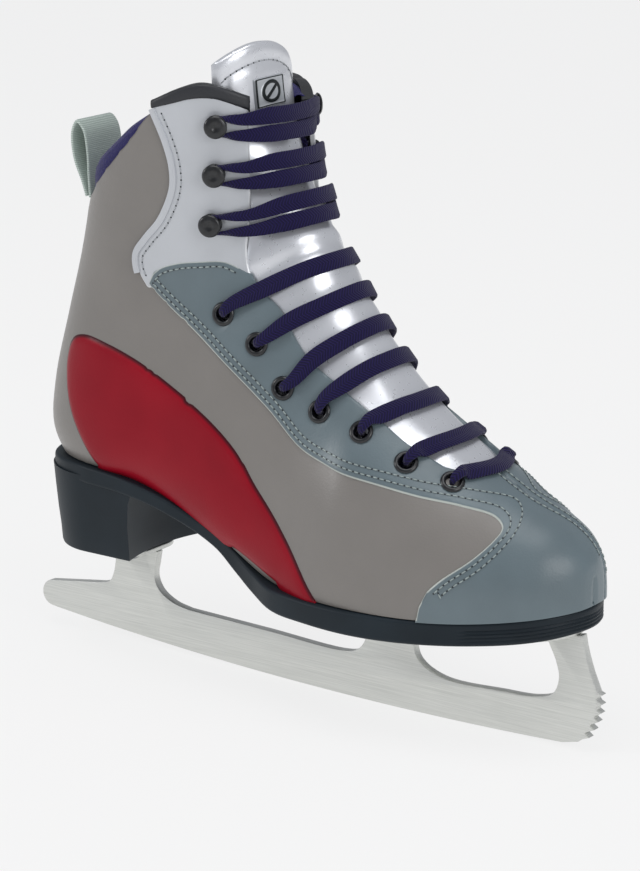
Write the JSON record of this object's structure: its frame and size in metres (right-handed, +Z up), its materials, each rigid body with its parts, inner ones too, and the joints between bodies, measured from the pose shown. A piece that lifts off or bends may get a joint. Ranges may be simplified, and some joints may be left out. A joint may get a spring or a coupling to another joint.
{
  "type": "figure skate",
  "caption": "Laced recreational figure skate: a panelled padded boot with a hooked and eyeletted throat, tongue, pull loop and heeled sole on a steel blade with toe picks.",
  "frame": {"origin": "centre of the bounding box in plan, at the lowest point of the blade's edge, where it meets the ice", "axes": "+X towards the toe along the blade, +Z up from the ice, +Y towards the inner side of the right foot"},
  "size_m": [0.2754, 0.0863, 0.2593],
  "materials": {
    "sole": "moulded, satin",
    "blade_steel": "fine ground",
    "screw_steel": "zinc",
    "shank_steel": "mill",
    "grey_leather": "smooth synthetic leather",
    "blue_grey_leather": "smooth synthetic leather",
    "silver_leather": "metallic coated synthetic leather",
    "red_panel": "glossy foil",
    "strap": "woven tape",
    "lining": "brushed knit over foam",
    "black_binding": "matte",
    "black_metal": "satin black",
    "lace": "flat braid",
    "board": "pressed fibre board",
    "label": "embossed metallic"
  },
  "bodies": {
    "skate": {"vamp_outer": "blue_grey_leather", "vamp_inner": "blue_grey_leather", "quarter_outer": "grey_leather", "quarter_inner": "grey_leather", "cuff_outer": "silver_leather", "cuff_inner": "silver_leather", "tongue": "silver_leather", "collar_binding_outer": "black_binding", "collar_binding_inner": "black_binding", "side_panel_outer": "red_panel", "side_panel_inner": "red_panel", "backstay": "strap", "toe_puff": "board", "heel_counter": "board", "insole_board": "board", "padded_lining": "lining", "footbed": "lining", "lace": "lace", "outsole": "sole", "shank": "shank_steel", "sole_plate": "blade_steel", "heel_plate": "blade_steel", "blade": "blade_steel", "eyelet_outer_1": "black_metal", "eyelet_outer_2": "black_metal", "eyelet_outer_3": "black_metal", "eyelet_outer_4": "black_metal", "eyelet_outer_5": "black_metal", "eyelet_outer_6": "black_metal", "eyelet_outer_7": "black_metal", "hook_outer_1": "black_metal", "hook_outer_2": "black_metal", "hook_outer_3": "black_metal", "heel_screw_outer_1": "screw_steel", "heel_screw_outer_2": "screw_steel", "sole_screw_outer_3": "screw_steel", "sole_screw_outer_4": "screw_steel", "sole_screw_outer_5": "screw_steel", "eyelet_inner_1": "black_metal", "eyelet_inner_2": "black_metal", "eyelet_inner_3": "black_metal", "eyelet_inner_4": "black_metal", "eyelet_inner_5": "black_metal", "eyelet_inner_6": "black_metal", "eyelet_inner_7": "black_metal", "hook_inner_1": "black_metal", "hook_inner_2": "black_metal", "hook_inner_3": "black_metal", "heel_screw_inner_1": "screw_steel", "heel_screw_inner_2": "screw_steel", "sole_screw_inner_3": "screw_steel", "sole_screw_inner_4": "screw_steel", "sole_screw_inner_5": "screw_steel"},
    "tongue_flap": {"tongue_top": "silver_leather", "tongue_label": "label"},
    "loop": {"pull_loop": "strap"}
  },
  "joints": [
    {"name": "tongue_flex", "type": "hinge", "parent": "skate", "child": "tongue_flap", "pos_m": [-0.0148, 0, 0.2332], "axis": [0, 1, 0], "range_deg": [0, 40]},
    {"name": "pull_loop_fold", "type": "hinge", "parent": "skate", "child": "loop", "pos_m": [-0.1014, 0, 0.1893], "axis": [0, -1, 0], "range_deg": [0, 120]}
  ]
}
